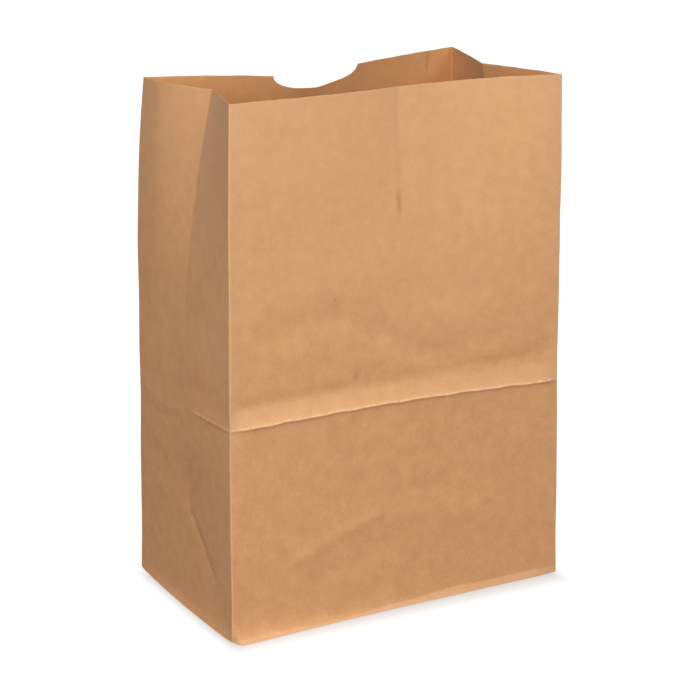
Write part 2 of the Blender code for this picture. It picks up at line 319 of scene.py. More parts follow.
def foot_flare(height, strip=FOOT_FLARE_HEIGHT):
    """The last few millimetres of a panel stand out where the pasted bottom stiffens it."""
    return FOOT_FLARE * strip / FOOT_FLARE_HEIGHT * np.maximum(0.0, 1 - height / strip)


def front_inset(fraction, height):
    """How far the front panel lies inside the line between its upright edges."""
    across = (fraction - 0.5) * BAG_WIDTH
    band = CREASE_BAND_LEFT + (CREASE_BAND_RIGHT - CREASE_BAND_LEFT) * fraction ** 2
    along = soft_step(fraction * BAG_WIDTH / LIP_CORNER) * (1 - fraction) ** 2
    inset = FRONT_BOW * hump(fraction, FRONT_BOW_RISE, FRONT_BOW_FALL) * opening(height)
    inset += centre_crease(across, height)
    inset += front_handling(across, height) * edge_fade(fraction)
    inset -= cross_crease(height, band) * (0.12 + 0.88 * edge_fade(fraction))
    inset -= FRONT_LIP_REACH * along * np.exp(-height / LIP_RISE)
    flare = foot_flare(height, foot_strip(fraction))
    return inset - flare * soft_step(fraction * 12) * soft_step((1 - fraction) * 12)


def back_inset(fraction, height):
    """How far the back panel lies inside the line between its upright edges."""
    across = (0.5 - fraction) * BAG_WIDTH
    swell = cross_crease(height, CREASE_BAND_LEFT) + half_crease(height)
    inset = BACK_FOLD * fold_line(fraction, BACK_FOLD_PLACE, BACK_FOLD_SOFTNESS) * opening(height)
    inset += dent_along(across, height, (0.090, 0.260), (-0.020, 0.222), 0.00090, 0.0100)
    inset += dimple(across, height, (-0.070, 0.120), 0.00070, 0.0400, 0.0200)
    inset -= dimple(across, height, (0.040, 0.060), 0.00080, 0.0450, 0.0200)
    along = fraction * BAG_WIDTH
    overlap = np.clip((along - SEAM_PLACE + SEAM_OVERLAP) / SEAM_OVERLAP, 0, 1)
    inset -= np.where(along < SEAM_PLACE + 1e-6, PAPER_THICKNESS * overlap, 0)
    return inset - swell * edge_fade(fraction) - 0.4 * foot_flare(height)


def crisp_share(from_back):
    """How crisp a gusset's cross crease is: sharp near the front, soft in the back half."""
    return soft_step((from_back - 0.098) / 0.030)


def gusset_inset(fraction, height, rim_fold, from_back):
    """How far a gusset lies inside the line between its upright edges. It is flat on each
    side of its middle fold, and two more folds run from the gusset point to the bottom
    corners. The half crease crosses its back half."""
    edge = BAG_DEPTH * np.minimum(fraction, 1 - fraction)
    soft = GUSSET_FOLD_SOFTNESS
    from_edge = edge - soft * np.exp(-(HALF_DEPTH - edge) / soft) / 2
    from_edge = np.maximum(from_edge, 0)
    dent = GUSSET_POINT_DENT * (1 - soft_step((height - HALF_DEPTH) / GUSSET_POINT_FADE))
    above = (dent + rim_fold * opening(height)) * from_edge / HALF_DEPTH
    gap = np.abs(from_edge - height)
    nearer = np.minimum(from_edge, height) - soft * np.exp(-gap / soft) / 2
    below = GUSSET_POINT_DENT * np.maximum(nearer, 0) / HALF_DEPTH
    inset = np.where(height < HALF_DEPTH, below, above)
    on_back = np.clip(from_back / HALF_DEPTH, 0, 1)
    inset -= half_crease(height) * np.sin(np.pi * on_back)
    sides = soft_step(edge / 0.012)
    crisp = crisp_share(from_back)
    ridge = cross_crease(height, CREASE_BAND_LEFT, 1.4 * crisp) * (0.16 + 0.14 * crisp)
    return inset - ridge * sides - 0.6 * foot_flare(height) * sides


def back_half_bulge(from_back, height):
    """How far a gusset's back half bends out of its plane where the gusset folds in."""
    place = np.clip(from_back / HALF_DEPTH, 0, 1)
    reach = np.where(place < BACK_HALF_BEND, BACK_HALF_BEND, 1 - BACK_HALF_BEND)
    away = np.hypot((place - BACK_HALF_BEND) / reach, BACK_HALF_SOFTNESS) - BACK_HALF_SOFTNESS
    whole = math.hypot(1, BACK_HALF_SOFTNESS) - BACK_HALF_SOFTNESS
    return BACK_HALF_BULGE * opening(height) * np.maximum(0.0, 1 - away / whole)


def left_handling(fraction, height):
    """Dents in the left gusset, whose fraction runs from its back edge to its front edge."""
    across = fraction * BAG_DEPTH
    dents = dent_along(across, height, SLANT_START, SLANT_END, 0.00085, 0.0030)
    dents -= dent_along(across, height, (0.084, 0.084), (0.126, 0.030), 0.00025, 0.0060)
    dents -= dent_along(across, height, (0.026, 0.150), (0.080, 0.096), 0.00025, 0.0110)
    dents += dent_along(across, height, (0.006, 0.158), (0.078, 0.168), 0.00060, 0.0050)
    dents += dimple(across, height, (0.060, 0.230), 0.00110, 0.0300, 0.0450)
    dents -= dimple(across, height, (0.120, 0.205), 0.00060, 0.0220, 0.0260)
    dents -= dimple(across, height, (0.050, 0.132), 0.00040, 0.0240, 0.0160)
    dents = dents * soft_step(fraction * 9) * soft_step((1 - fraction) * 9)
    return dents - back_half_bulge(across, height)


def right_handling(fraction, height):
    """Dents in the right gusset, whose fraction runs from its front edge to its back edge."""
    across = fraction * BAG_DEPTH
    dents = dent_along(across, height, (0.074, 0.090), (0.030, 0.038), 0.00110, 0.0045)
    dents += dent_along(across, height, (0.060, 0.232), (0.120, 0.198), 0.00110, 0.0110)
    dents -= dimple(across, height, (0.110, 0.140), 0.00080, 0.0260, 0.0180)
    return dents * soft_step(fraction * 9) * soft_step((1 - fraction) * 9)


def front_crease_wave(fraction):
    """How far the cross crease of the front panel runs above its usual height."""
    arch = 0.0036 * np.sin(np.pi * fraction) - 0.0022 * fraction - 0.0003
    return arch + 0.00025 * np.sin(fraction * 47) + 0.00018 * np.sin(fraction * 83 + 1)


def left_crease_wave(fraction):
    """How far the cross crease of the left gusset runs below its usual height, negative."""
    return -0.0016 - 0.0084 * bell((fraction - 0.30) / 0.2) + 0.0013 * fraction ** 4


def right_crease_wave(fraction):
    """The same for the right gusset."""
    return -0.0022 - 0.0050 * bell((fraction - 0.62) / 0.24)


def crease_wave(panel, fraction):
    """How far a panel's cross crease leaves its usual height."""
    if panel == FRONT:
        return front_crease_wave(fraction)
    if panel == RIGHT:
        return right_crease_wave(fraction)
    if panel == LEFT:
        return left_crease_wave(fraction)
    return -0.0022 * fraction + 0.0010 * np.sin(np.pi * fraction)


def bend_length(depth, curve, *shape):
    """How much closer a wide panel's edges come when it bends in by this depth."""
    places = np.linspace(0, 1, 65)
    change = np.diff(curve(places, *shape))
    run = np.hypot(BAG_WIDTH / change.size, np.multiply.outer(depth, change))
    return run.sum(axis=-1) - BAG_WIDTH


def gusset_pull(rim_fold, height):
    """How much closer the front and back edges come when a gusset folds in."""
    low = GUSSET_POINT_DENT * height / HALF_DEPTH
    high = GUSSET_POINT_DENT * (1 - soft_step((height - HALF_DEPTH) / GUSSET_POINT_FADE))
    fold = np.where(height <= HALF_DEPTH, low, high) + rim_fold * opening(height)
    return 2 * (HALF_DEPTH - np.sqrt(HALF_DEPTH ** 2 - fold ** 2))


def corner(which, height):
    """One of the bag's four upright edges: front left, front right, back right, back left."""
    foot = np.maximum(0.0, 1 - height / CREASE_HEIGHT)
    upper = np.maximum(0.0, (height - CREASE_HEIGHT) / (BAG_HEIGHT - CREASE_HEIGHT))
    spread = BASE_SPREAD * foot
    grown = opening(height)
    if which in (0, 1):
        bend = bend_length(FRONT_BOW * grown, hump, FRONT_BOW_RISE, FRONT_BOW_FALL)
        half = BAG_WIDTH / 2 + spread - bend / 2 - MOUTH_TAPER * upper
        x = half if which == 1 else -half
        return np.stack((x, -HALF_DEPTH - spread, height), axis=-1)
    bend = bend_length(BACK_FOLD * grown, fold_line, BACK_FOLD_PLACE, BACK_FOLD_SOFTNESS)
    half = BAG_WIDTH / 2 + spread - bend / 2
    rim_fold = RIGHT_FOLD if which == 2 else LEFT_FOLD
    y = HALF_DEPTH + spread - gusset_pull(rim_fold, height)
    x = BACK_SHIFT * upper + (half if which == 2 else -half)
    sag = BACK_LEFT_SAG * (1 - foot) if which == 3 else 0 * height
    return np.stack((x, y, height - sag), axis=-1)


def panel_inset(panel, fraction, height):
    """How far a panel lies inside the line between its edges, and its inset at the rim."""
    if panel == FRONT:
        rim = FRONT_BOW * hump(fraction, FRONT_BOW_RISE, FRONT_BOW_FALL)
        return front_inset(fraction, height), rim
    if panel == BACK:
        rim = BACK_FOLD * fold_line(fraction, BACK_FOLD_PLACE, BACK_FOLD_SOFTNESS)
        return back_inset(fraction, height), rim
    if panel == RIGHT:
        inset = gusset_inset(fraction, height, RIGHT_FOLD, BAG_DEPTH * (1 - fraction))
        rim = RIGHT_FOLD * 2 * np.minimum(fraction, 1 - fraction)
        return inset + right_handling(fraction, height), rim
    inset = gusset_inset(fraction, height, LEFT_FOLD, BAG_DEPTH * fraction)
    inset -= LEFT_LIP_REACH * np.sin(np.pi * fraction) * np.exp(-height / LIP_RISE)
    rim = LEFT_FOLD * 2 * np.minimum(fraction, 1 - fraction)
    return inset + left_handling(fraction, height), rim


def rounded_edge(fraction, length):
    """How far paper near a panel's upright edge moves along the panel and inwards, so that
    the fold between two panels has a small radius."""
    start = fraction * length
    end = (1 - fraction) * length
    turn_start = 0.5 * np.maximum(0.0, 1 - start / CORNER_RADIUS)
    turn_end = 0.5 * np.maximum(0.0, 1 - end / CORNER_RADIUS)
    inward = CORNER_RADIUS * (turn_start ** 2 + turn_end ** 2)
    ahead = np.where(turn_start > 0, (1 - turn_start) ** 2 * CORNER_RADIUS - start, 0.0)
    back = np.where(turn_end > 0, (1 - turn_end) ** 2 * CORNER_RADIUS - end, 0.0)
    return ahead - back, inward


def panel_points(panel, fraction, height):
    """Points of the paper's outer face, for arrays of fractions and heights."""
    start = corner(panel, height)
    end = corner((panel + 1) % 4, height)
    length = BAG_WIDTH if panel in (FRONT, BACK) else BAG_DEPTH
    chord = end - start
    flat = np.stack((-chord[..., 1], chord[..., 0], 0 * height), axis=-1)
    inward = flat / np.linalg.norm(flat, axis=-1, keepdims=True)
    forward = chord / np.linalg.norm(chord, axis=-1, keepdims=True)
    inset, rim_inset = panel_inset(panel, fraction, height)
    slide, tuck = rounded_edge(fraction, length)
    points = start + chord * fraction[..., None]
    points = points + inward * (inset + tuck)[..., None] + forward * slide[..., None]
    points[..., 2] -= paper_drop(rim_inset, height)
    return points


def notch_middle():
    """Fraction of the back panel's rim at the notch's middle, and the notch's half width."""
    rim = np.array(BAG_HEIGHT)
    right = float(corner(2, rim)[0])
    left = float(corner(3, rim)[0])
    return (right - NOTCH_CENTRE_X) / (right - left), NOTCH_WIDTH / 2 / (right - left)


def notch_cut(fraction):
    """How deep the thumb notch is cut into the back panel's rim at this fraction: steep at
    its ends, then slowly deeper to its middle."""
    middle, half = notch_middle()
    across = np.minimum(1.0, np.abs(fraction - middle) / half)
    whole = math.hypot(1, NOTCH_SOFTNESS) - NOTCH_SOFTNESS
    slow = 1 - (np.hypot(across, NOTCH_SOFTNESS) - NOTCH_SOFTNESS) / whole
    steep = np.sqrt(1 - across ** 6)
    return NOTCH_DEPTH * (NOTCH_END_SHARE * steep + (1 - NOTCH_END_SHARE) * slow)


def paper_rows():
    """Usual heights of the mesh's rows, closest at the foot and at the creases."""
    return np.array(stretches(
        (0.0050, 6), (0.0074, 3), (0.0820, 26), (0.0960, 7), (0.1680, 15), (0.1744, 6),
        (CREASE_HEIGHT, 3), (0.1776, 3), (0.1840, 6), (0.2040, 7), (0.4020, 30), (0.4300, 8),
        (0.4312, 2), (BAG_HEIGHT, 2),
    ))


def wide_columns():
    """Fractions of the front panel's columns."""
    half = BAG_WIDTH / 2
    places = stretches(
        (CORNER_RADIUS, 3), (0.0040, 2), (half - 0.0040, 58), (half + 0.0048, 8),
        (BAG_WIDTH - 0.0040, 58), (BAG_WIDTH - CORNER_RADIUS, 2), (BAG_WIDTH, 3),
    )
    return np.array(places) / BAG_WIDTH


def back_columns():
    """Fractions of the back panel's columns, close at the seam's edge and at the notch."""
    middle, half = notch_middle()
    near = (middle - half) * BAG_WIDTH
    far = (middle + half) * BAG_WIDTH
    places = stretches(
        (CORNER_RADIUS, 3), (0.0040, 2), (SEAM_PLACE, 7), (SEAM_PLACE + 0.00012, 1), (near, 22),
    )
    swing = (far - near) / 2
    for turn in range(1, NOTCH_COLUMNS + 1):
        places.append(near + swing - swing * math.cos(math.pi * turn / NOTCH_COLUMNS))
    rest = stretches(
        (BAG_WIDTH - 0.0040 - far, 25), (BAG_WIDTH - CORNER_RADIUS - far, 2),
        (BAG_WIDTH - far, 3),
    )
    places += [far + place for place in rest[1:]]
    return np.array(places) / BAG_WIDTH


def gusset_columns(steps):
    """Fractions of a gusset's columns, close at its upright folds."""
    places = stretches(
        (CORNER_RADIUS, 3), (0.0040, 2), (HALF_DEPTH - 0.0024, steps),
        (HALF_DEPTH + 0.0024, 6), (BAG_DEPTH - 0.0040, steps),
        (BAG_DEPTH - CORNER_RADIUS, 2), (BAG_DEPTH, 3),
    )
    return np.array(places) / BAG_DEPTH


def crumple(points):
    """Small outward and inward swells all over the paper."""
    swell = np.zeros(len(points))
    for size, depth in SWELLS:
        for index, point in enumerate(points):
            swell[index] += depth * noise.noise(Vector(point) / size)
    return swell


def uneven_along(places, panel, row, usual, change):
    """Values that waver about their usual one, along a fold or the rim."""
    return np.array([usual + change * noise.noise(Vector((place, panel, row))) for place in places])


def fold_wear_and_highlight(panel, fraction, length, usual):
    """How pale the paper is: rubbed along its upright folds, its cross crease and its cut rim, and
    painted highlight on the front's foot strip and on the band above its cross crease.
    """
    edge = length * np.minimum(fraction, 1 - fraction)
    cracked = uneven_along(fraction[0] * length / 0.0035, panel, 0, 0.75, 0.9)
    rubbed = uneven_along(usual[:, 0] / 0.0060, panel, 7, 0.8, 0.6)
    wear = 0.80 * bell(edge / 0.0009) * rubbed[:, None]
    crease = bell((usual - CREASE_HEIGHT - 0.0007) / 0.0010) * cracked[None, :]
    if panel in (LEFT, RIGHT):
        from_back = edge_from_back(panel, fraction)
        crease = crease * 0.6 * crisp_share(from_back)
    wear = np.maximum(wear, crease)
    wear = np.maximum(wear, 0.30 * bell((BAG_HEIGHT - usual) / 0.0006))
    if panel == FRONT:
        # Painted highlight on the foot strip, which turns up to the light
        strip = soft_step((foot_strip(fraction) - usual) / 0.0012 + 0.5)
        wear = np.maximum(wear, 0.38 * strip)
        # Painted highlight on the band above the cross crease, which tilts up to the light
        band = soft_step((usual - CREASE_HEIGHT) / 0.002)
        band = band * soft_step((CREASE_HEIGHT + 0.018 - usual) / 0.006)
        wear = np.maximum(wear, 0.22 * band)
    return wear


def edge_from_back(panel, fraction):
    """How far a place of a gusset is from its back edge."""
    return BAG_DEPTH * (fraction if panel == LEFT else 1 - fraction)


def fold_shade(panel, fraction, length, usual):
    """Painted shade: how much darker the paper is painted where shade falls: just under the cross
    crease, in the sharpest dents and pinches, and in specks of shadow along the front rim."""
    across = (fraction - 0.5) * length
    # Painted shade just under the cross crease
    shade = 0.50 * bell((usual - CREASE_HEIGHT + 0.0014) / 0.0010)
    if panel in (LEFT, RIGHT):
        from_back = edge_from_back(panel, fraction)
        shade = shade * crisp_share(from_back)
        # Painted shade along the slanting dent and at the gusset's point
        fold = dent_along(from_back, usual, SLANT_START, SLANT_END, 1.0, 0.0015)
        point = dimple(from_back, usual, (SLANT_START[0], 0.0815), 1.0, 0.0022, 0.0030)
        shade = np.maximum(shade, (0.80 if panel == LEFT else 0.4) * np.maximum(fold, point))
    if panel == FRONT:
        # Painted shade: a dark spot in a dent, the centre crease's pinch, and specks of shadow along
        # the rim
        spot = bell((across + 0.040) / 0.0022) * bell((usual - 0.2025) / 0.0020)
        shade = np.maximum(shade, 0.8 * spot)
        pinch = 0.75 * bell((usual - 0.341) / 0.010) * bell((across - 0.0005) / 0.0022)
        upper = 0.16 * soft_step((usual - 0.325) / 0.010)
        upper = upper * bell((across - CENTRE_CREASE_LINE) / 0.0011)
        shade = np.maximum(shade, np.maximum(pinch, upper))
        frayed = np.array([noise.noise(Vector((place, 3, 9))) for place in across[0] / 0.0028])
        rim = 0.9 * np.clip(frayed, 0, 1)[None, :] * bell((BAG_HEIGHT - usual - 0.0004) / 0.0007)
        shade = np.maximum(shade, rim)
    return shade


def sheet_arrays():
    """Points, wear and shade of the paper's outer face, row by row round the bag."""
    rows = paper_rows()
    points = []
    wear = []
    shade = []
    fractions = (wide_columns(), gusset_columns(22), back_columns(), gusset_columns(34))
    for panel in (FRONT, RIGHT, BACK, LEFT):
        fraction, usual = np.meshgrid(fractions[panel][:-1], rows)
        length = BAG_WIDTH if panel in (FRONT, BACK) else BAG_DEPTH
        cut = RIM_WAVER * uneven_along(fraction[0] * length * 60, panel, 0, 0, 1)
        if panel == BACK:
            cut = cut + notch_cut(fraction[0])
        near = bell((usual - CREASE_HEIGHT) / CREASE_WAVE_REACH)
        wave = crease_wave(panel, fraction) * near
        lower = cut * soft_step((usual - BAG_HEIGHT + NOTCH_REACH) / NOTCH_REACH)
        places = panel_points(panel, fraction, usual - lower)
        places[..., 2] += wave
        points.append(places)
        wear.append(fold_wear_and_highlight(panel, fraction, length, usual))
        shade.append(fold_shade(panel, fraction, length, usual))
    return [np.concatenate(parts, axis=1) for parts in (points, wear, shade)]


def grid_faces(rows, columns):
    """Quads of a grid whose columns run round the bag and close on themselves."""
    low = np.arange((rows - 1) * columns).reshape(rows - 1, columns)
    after = np.roll(low, -1, axis=1)
    return np.stack((low, after, after + columns, low + columns), axis=-1).reshape(-1, 4)


def add_values(mesh, name, values):
    """Store one number per vertex for the paper's material to read."""
    layer = mesh.attributes.new(name, 'FLOAT', 'POINT')
    layer.data.foreach_set("value", values.astype(np.float32).ravel())


def bag_sheet(material, inside_material_painted_light):
    """The whole folded sheet: four walls and the bottom that they stand on."""
    points, wear, shade = sheet_arrays()
    rows, columns = wear.shape
    flat = points.reshape(-1, 3)
    swell = crumple(flat)
    outward = flat.copy()
    outward[:, 2] = 0
    outward /= np.linalg.norm(outward, axis=1, keepdims=True)
    held = soft_step(flat[:, 2] / STIFF_FOOT)
    flat = flat + outward * (swell * held)[:, None]
    flat[:, 2] += BOTTOM_RISE
    faces = grid_faces(rows, columns).tolist()
    faces.append(list(range(columns))[::-1])
    mesh = bpy.data.meshes.new("paper_bag_sheet")
    mesh.from_pydata(flat.tolist(), [], faces)
    mesh.update()
    add_values(mesh, "fold_wear_and_highlight", wear)
    add_values(mesh, "fold_shade", shade)
    mesh.shade_smooth()
    mesh.set_sharp_from_angle(angle=math.radians(SHARPEST_BEND))
    mesh.materials.append(material)
    mesh.materials.append(inside_material_painted_light)
    sheet = bpy.data.objects.new("paper_bag_sheet", mesh)
    bpy.context.scene.collection.objects.link(sheet)
    paper = sheet.modifiers.new("paper thickness", 'SOLIDIFY')
    paper.thickness = PAPER_THICKNESS
    paper.offset = -1
    # The inner face takes the inner side's paper, with its painted light
    paper.material_offset = 1
    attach(sheet, "root")
    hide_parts("paper_bag")


def paper_layer(name, outline, low, material):
    """A flat layer of paper, from its outline and the height of its underside."""
    mesh = bmesh.new()
    bottom = mesh.faces.new([mesh.verts.new((x, y, low)) for x, y in outline])
    raised = bmesh.ops.extrude_face_region(mesh, geom=[bottom])
    lifted = [item for item in raised["geom"] if isinstance(item, bmesh.types.BMVert)]
    bmesh.ops.translate(mesh, verts=lifted, vec=(0, 0, PAPER_THICKNESS))
    bmesh.ops.recalc_face_normals(mesh, faces=mesh.faces)
    data = bpy.data.meshes.new(name)
    mesh.to_mesh(data)
    mesh.free()
    add_values(data, "fold_wear_and_highlight", np.full(len(data.vertices), FLAP_WEAR))
    add_values(data, "fold_shade", np.zeros(len(data.vertices)))
    data.materials.append(material)
    layer = bpy.data.objects.new(name, data)
    bpy.context.scene.collection.objects.link(layer)
    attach(layer, "root")


def bottom_flap(name, side, low, material):
    """One pasted bottom flap: a trapezoid with 45 degree ends, hinged on one long side."""
    half = BAG_WIDTH / 2 - FLAP_INSET
    outer = HALF_DEPTH - FLAP_INSET
    reach = outer + FLAP_OVERLAP / 2
    outline = (
        (-half, side * outer),
        (half, side * outer),
        (half - reach, -side * FLAP_OVERLAP / 2),
        (reach - half, -side * FLAP_OVERLAP / 2),
    )
    paper_layer(name, outline, low, material)


def end_flap(name, side, low, material):
    """The triangle that a gusset's foot makes on the floor inside the bag."""
    half = BAG_WIDTH / 2 - FLAP_INSET
    outer = HALF_DEPTH - FLAP_INSET
    outline = (
        (side * half, -outer),
        (side * (half - outer), 0.0),
        (side * half, outer),
    )
    paper_layer(name, outline, low, material)


def new_socket(group, name, way, kind, value=None):
    """A named input or output of a shader group."""
    socket = group.interface.new_socket(name=name, in_out=way, socket_type=kind)
    if value is not None:
        socket.default_value = value
    return socket


def kraft_fibre_group():
    """Cloudy formation, fibre streaks and flecks of kraft paper."""
    group = bpy.data.node_groups.new("kraft fibre", 'ShaderNodeTree')
    new_socket(group, "Vector", 'INPUT', 'NodeSocketVector')
    new_socket(group, "Cloud Size", 'INPUT', 'NodeSocketFloat', WALL_CLOUD)
    new_socket(group, "Fibre Size", 'INPUT', 'NodeSocketFloat', FIBRE_SIZE)
    new_socket(group, "Fleck Spacing", 'INPUT', 'NodeSocketFloat', FLECK_SPACING)
    new_socket(group, "Cloud", 'OUTPUT', 'NodeSocketFloat')
    new_socket(group, "Patches", 'OUTPUT', 'NodeSocketFloat')
    new_socket(group, "Tint", 'OUTPUT', 'NodeSocketFloat')
    new_socket(group, "Fibre", 'OUTPUT', 'NodeSocketFloat')
    new_socket(group, "Flecks", 'OUTPUT', 'NodeSocketFloat')
    nodes = group.nodes
    links = group.links
    given = nodes.new("NodeGroupInput")
    result = nodes.new("NodeGroupOutput")

    def divided(socket, name):
        """The vector in units of a size."""
        scale = nodes.new("ShaderNodeMath")
        scale.operation = 'DIVIDE'
        scale.inputs[0].default_value = 1.0
        links.new(socket, scale.inputs[1])
        sized = nodes.new("ShaderNodeVectorMath")
        sized.operation = 'SCALE'
        sized.name = name
        links.new(given.outputs["Vector"], sized.inputs[0])
        links.new(scale.outputs[0], sized.inputs["Scale"])
        return sized.outputs[0]

    cloud = nodes.new("ShaderNodeTexNoise")
    cloud.inputs["Scale"].default_value = 1.0
    cloud.inputs["Detail"].default_value = 3.0
    cloud.inputs["Roughness"].default_value = 0.6
    links.new(divided(given.outputs["Cloud Size"], "cloud place"), cloud.inputs["Vector"])
    links.new(cloud.outputs["Fac"], result.inputs["Cloud"])

    patches = nodes.new("ShaderNodeTexNoise")
    patches.inputs["Scale"].default_value = 0.24
    patches.inputs["Detail"].default_value = 2.0
    links.new(divided(given.outputs["Cloud Size"], "patch place"), patches.inputs["Vector"])
    links.new(patches.outputs["Fac"], result.inputs["Patches"])

    tint = nodes.new("ShaderNodeTexNoise")
    tint.inputs["Scale"].default_value = 0.05
    tint.inputs["Detail"].default_value = 2.0
    links.new(divided(given.outputs["Cloud Size"], "tint place"), tint.inputs["Vector"])
    links.new(tint.outputs["Fac"], result.inputs["Tint"])

    upright = nodes.new("ShaderNodeMapping")
    upright.inputs["Scale"].default_value = (1.0, 1.0, 0.16)
    links.new(divided(given.outputs["Fibre Size"], "fibre place"), upright.inputs["Vector"])
    fibre = nodes.new("ShaderNodeTexNoise")
    fibre.inputs["Scale"].default_value = 1.0
    fibre.inputs["Detail"].default_value = 4.0
    fibre.inputs["Roughness"].default_value = 0.7
    links.new(upright.outputs[0], fibre.inputs["Vector"])
    links.new(fibre.outputs["Fac"], result.inputs["Fibre"])

    speck = nodes.new("ShaderNodeTexVoronoi")
    speck.feature = 'F1'
    speck.inputs["Scale"].default_value = 1.0
    links.new(divided(given.outputs["Fleck Spacing"], "fleck place"), speck.inputs["Vector"])
    near = nodes.new("ShaderNodeMapRange")
    near.inputs["From Min"].default_value = 0.018
    near.inputs["From Max"].default_value = 0.050
    near.inputs["To Min"].default_value = 1.0
    near.inputs["To Max"].default_value = 0.0
    links.new(speck.outputs["Distance"], near.inputs["Value"])
    parts = nodes.new("ShaderNodeSeparateColor")
    links.new(speck.outputs["Color"], parts.inputs[0])
    some = nodes.new("ShaderNodeMath")
    some.operation = 'MULTIPLY'
    links.new(near.outputs[0], some.inputs[0])
    links.new(parts.outputs[0], some.inputs[1])
    links.new(some.outputs[0], result.inputs["Flecks"])
    return group


def mixed(tree, factor, low, high):
    """A colour mix; low and high are colours or sockets."""
    mix = tree.nodes.new("ShaderNodeMix")
    mix.data_type = 'RGBA'
    mix.clamp_factor = True
    tree.links.new(factor, mix.inputs["Factor"])
    for socket, given in ((mix.inputs[6], low), (mix.inputs[7], high)):
        if isinstance(given, tuple):
            socket.default_value = given
        else:
            tree.links.new(given, socket)
    return mix.outputs[2]


def ranged(tree, socket, low, high, to_low=0.0, to_high=1.0):
    """A value moved from one range to another and held there."""
    node = tree.nodes.new("ShaderNodeMapRange")
    node.inputs["From Min"].default_value = low
    node.inputs["From Max"].default_value = high
    node.inputs["To Min"].default_value = to_low
    node.inputs["To Max"].default_value = to_high
    tree.links.new(socket, node.inputs["Value"])
    return node.outputs[0]


def stored(tree, name):
    """A number stored in the mesh."""
    node = tree.nodes.new("ShaderNodeAttribute")
    node.attribute_name = name
    return node.outputs["Fac"]


def summed(tree, first, first_share, second, second_share):
    """Two values added in given shares."""
    scaled = tree.nodes.new("ShaderNodeMath")
    scaled.operation = 'MULTIPLY'
    scaled.inputs[1].default_value = first_share
    tree.links.new(first, scaled.inputs[0])
    added = tree.nodes.new("ShaderNodeMath")
    added.operation = 'MULTIPLY_ADD'
    added.inputs[1].default_value = second_share
    tree.links.new(second, added.inputs[0])
    tree.links.new(scaled.outputs[0], added.inputs[2])
    return added.outputs[0]


def kraft_paper(name, fibres, cloud_size, bump_strength, dark=KRAFT_DARK, pale=KRAFT_PALE):
    """Uncoated brown kraft paper: cloudy, fibrous, flecked, a little sallow towards the
    mouth, painted dark with shade in its sharpest dents, rubbed pale on its folds, and painted pale
    with highlights on the front's crease band and foot strip."""
    material = bpy.data.materials.new(name)
    material.use_nodes = True
    tree = material.node_tree
    shader = tree.nodes["Principled BSDF"]
    place = tree.nodes.new("ShaderNodeTexCoord")
    fibre = tree.nodes.new("ShaderNodeGroup")
    fibre.node_tree = fibres
    fibre.inputs["Cloud Size"].default_value = cloud_size
    tree.links.new(place.outputs["Object"], fibre.inputs["Vector"])
    uneven = summed(tree, fibre.outputs["Cloud"], 0.32, fibre.outputs["Patches"], 0.42)
    tone = summed(tree, uneven, 1.0, fibre.outputs["Fibre"], 0.56)
    colour = mixed(tree, ranged(tree, tone, 0.15, 1.15), dark, pale)
    spot = tree.nodes.new("ShaderNodeSeparateXYZ")
    tree.links.new(place.outputs["Object"], spot.inputs[0])
    sallow = summed(tree, fibre.outputs["Tint"], 0.50, spot.outputs["Z"], 1.0)
    colour = mixed(tree, ranged(tree, sallow, 0.40, 0.72, 0.0, 0.40), colour, KRAFT_SALLOW)
    flecked = ranged(tree, fibre.outputs["Flecks"], 0.45, 1.0, 0.0, 0.85)
    colour = mixed(tree, flecked, colour, KRAFT_FLECK_AND_SHADE)
    # Painted shade from the fold_shade numbers, in the flecks' dark colour
    painted_shade_share = ranged(tree, stored(tree, "fold_shade"), 0, 1, 0.0, 0.62)
    colour = mixed(tree, painted_shade_share, colour, KRAFT_FLECK_AND_SHADE)
    # Pale rub on folds and rim, with painted highlights on the front's crease band and foot strip
    rubbed = ranged(tree, stored(tree, "fold_wear_and_highlight"), 0, 1, 0.0, 0.55)
    colour = mixed(tree, rubbed, colour, KRAFT_WORN_AND_HIGHLIGHT)
    tree.links.new(colour, shader.inputs["Base Color"])
    rough = ranged(tree, fibre.outputs["Cloud"], 0.3, 0.7, 0.66, 0.80)
    tree.links.new(rough, shader.inputs["Roughness"])
    shader.inputs["Specular IOR Level"].default_value = 0.28
    shader.inputs["Sheen Weight"].default_value = 0.08
    shader.inputs["Sheen Roughness"].default_value = 0.45
    bump = tree.nodes.new("ShaderNodeBump")
    bump.inputs["Strength"].default_value = bump_strength
    bump.inputs["Distance"].default_value = 0.00022
    relief = summed(tree, fibre.outputs["Cloud"], 0.7, fibre.outputs["Fibre"], 0.5)
    tree.links.new(relief, bump.inputs["Height"])
    tree.links.new(bump.outputs[0], shader.inputs["Normal"])
    return material


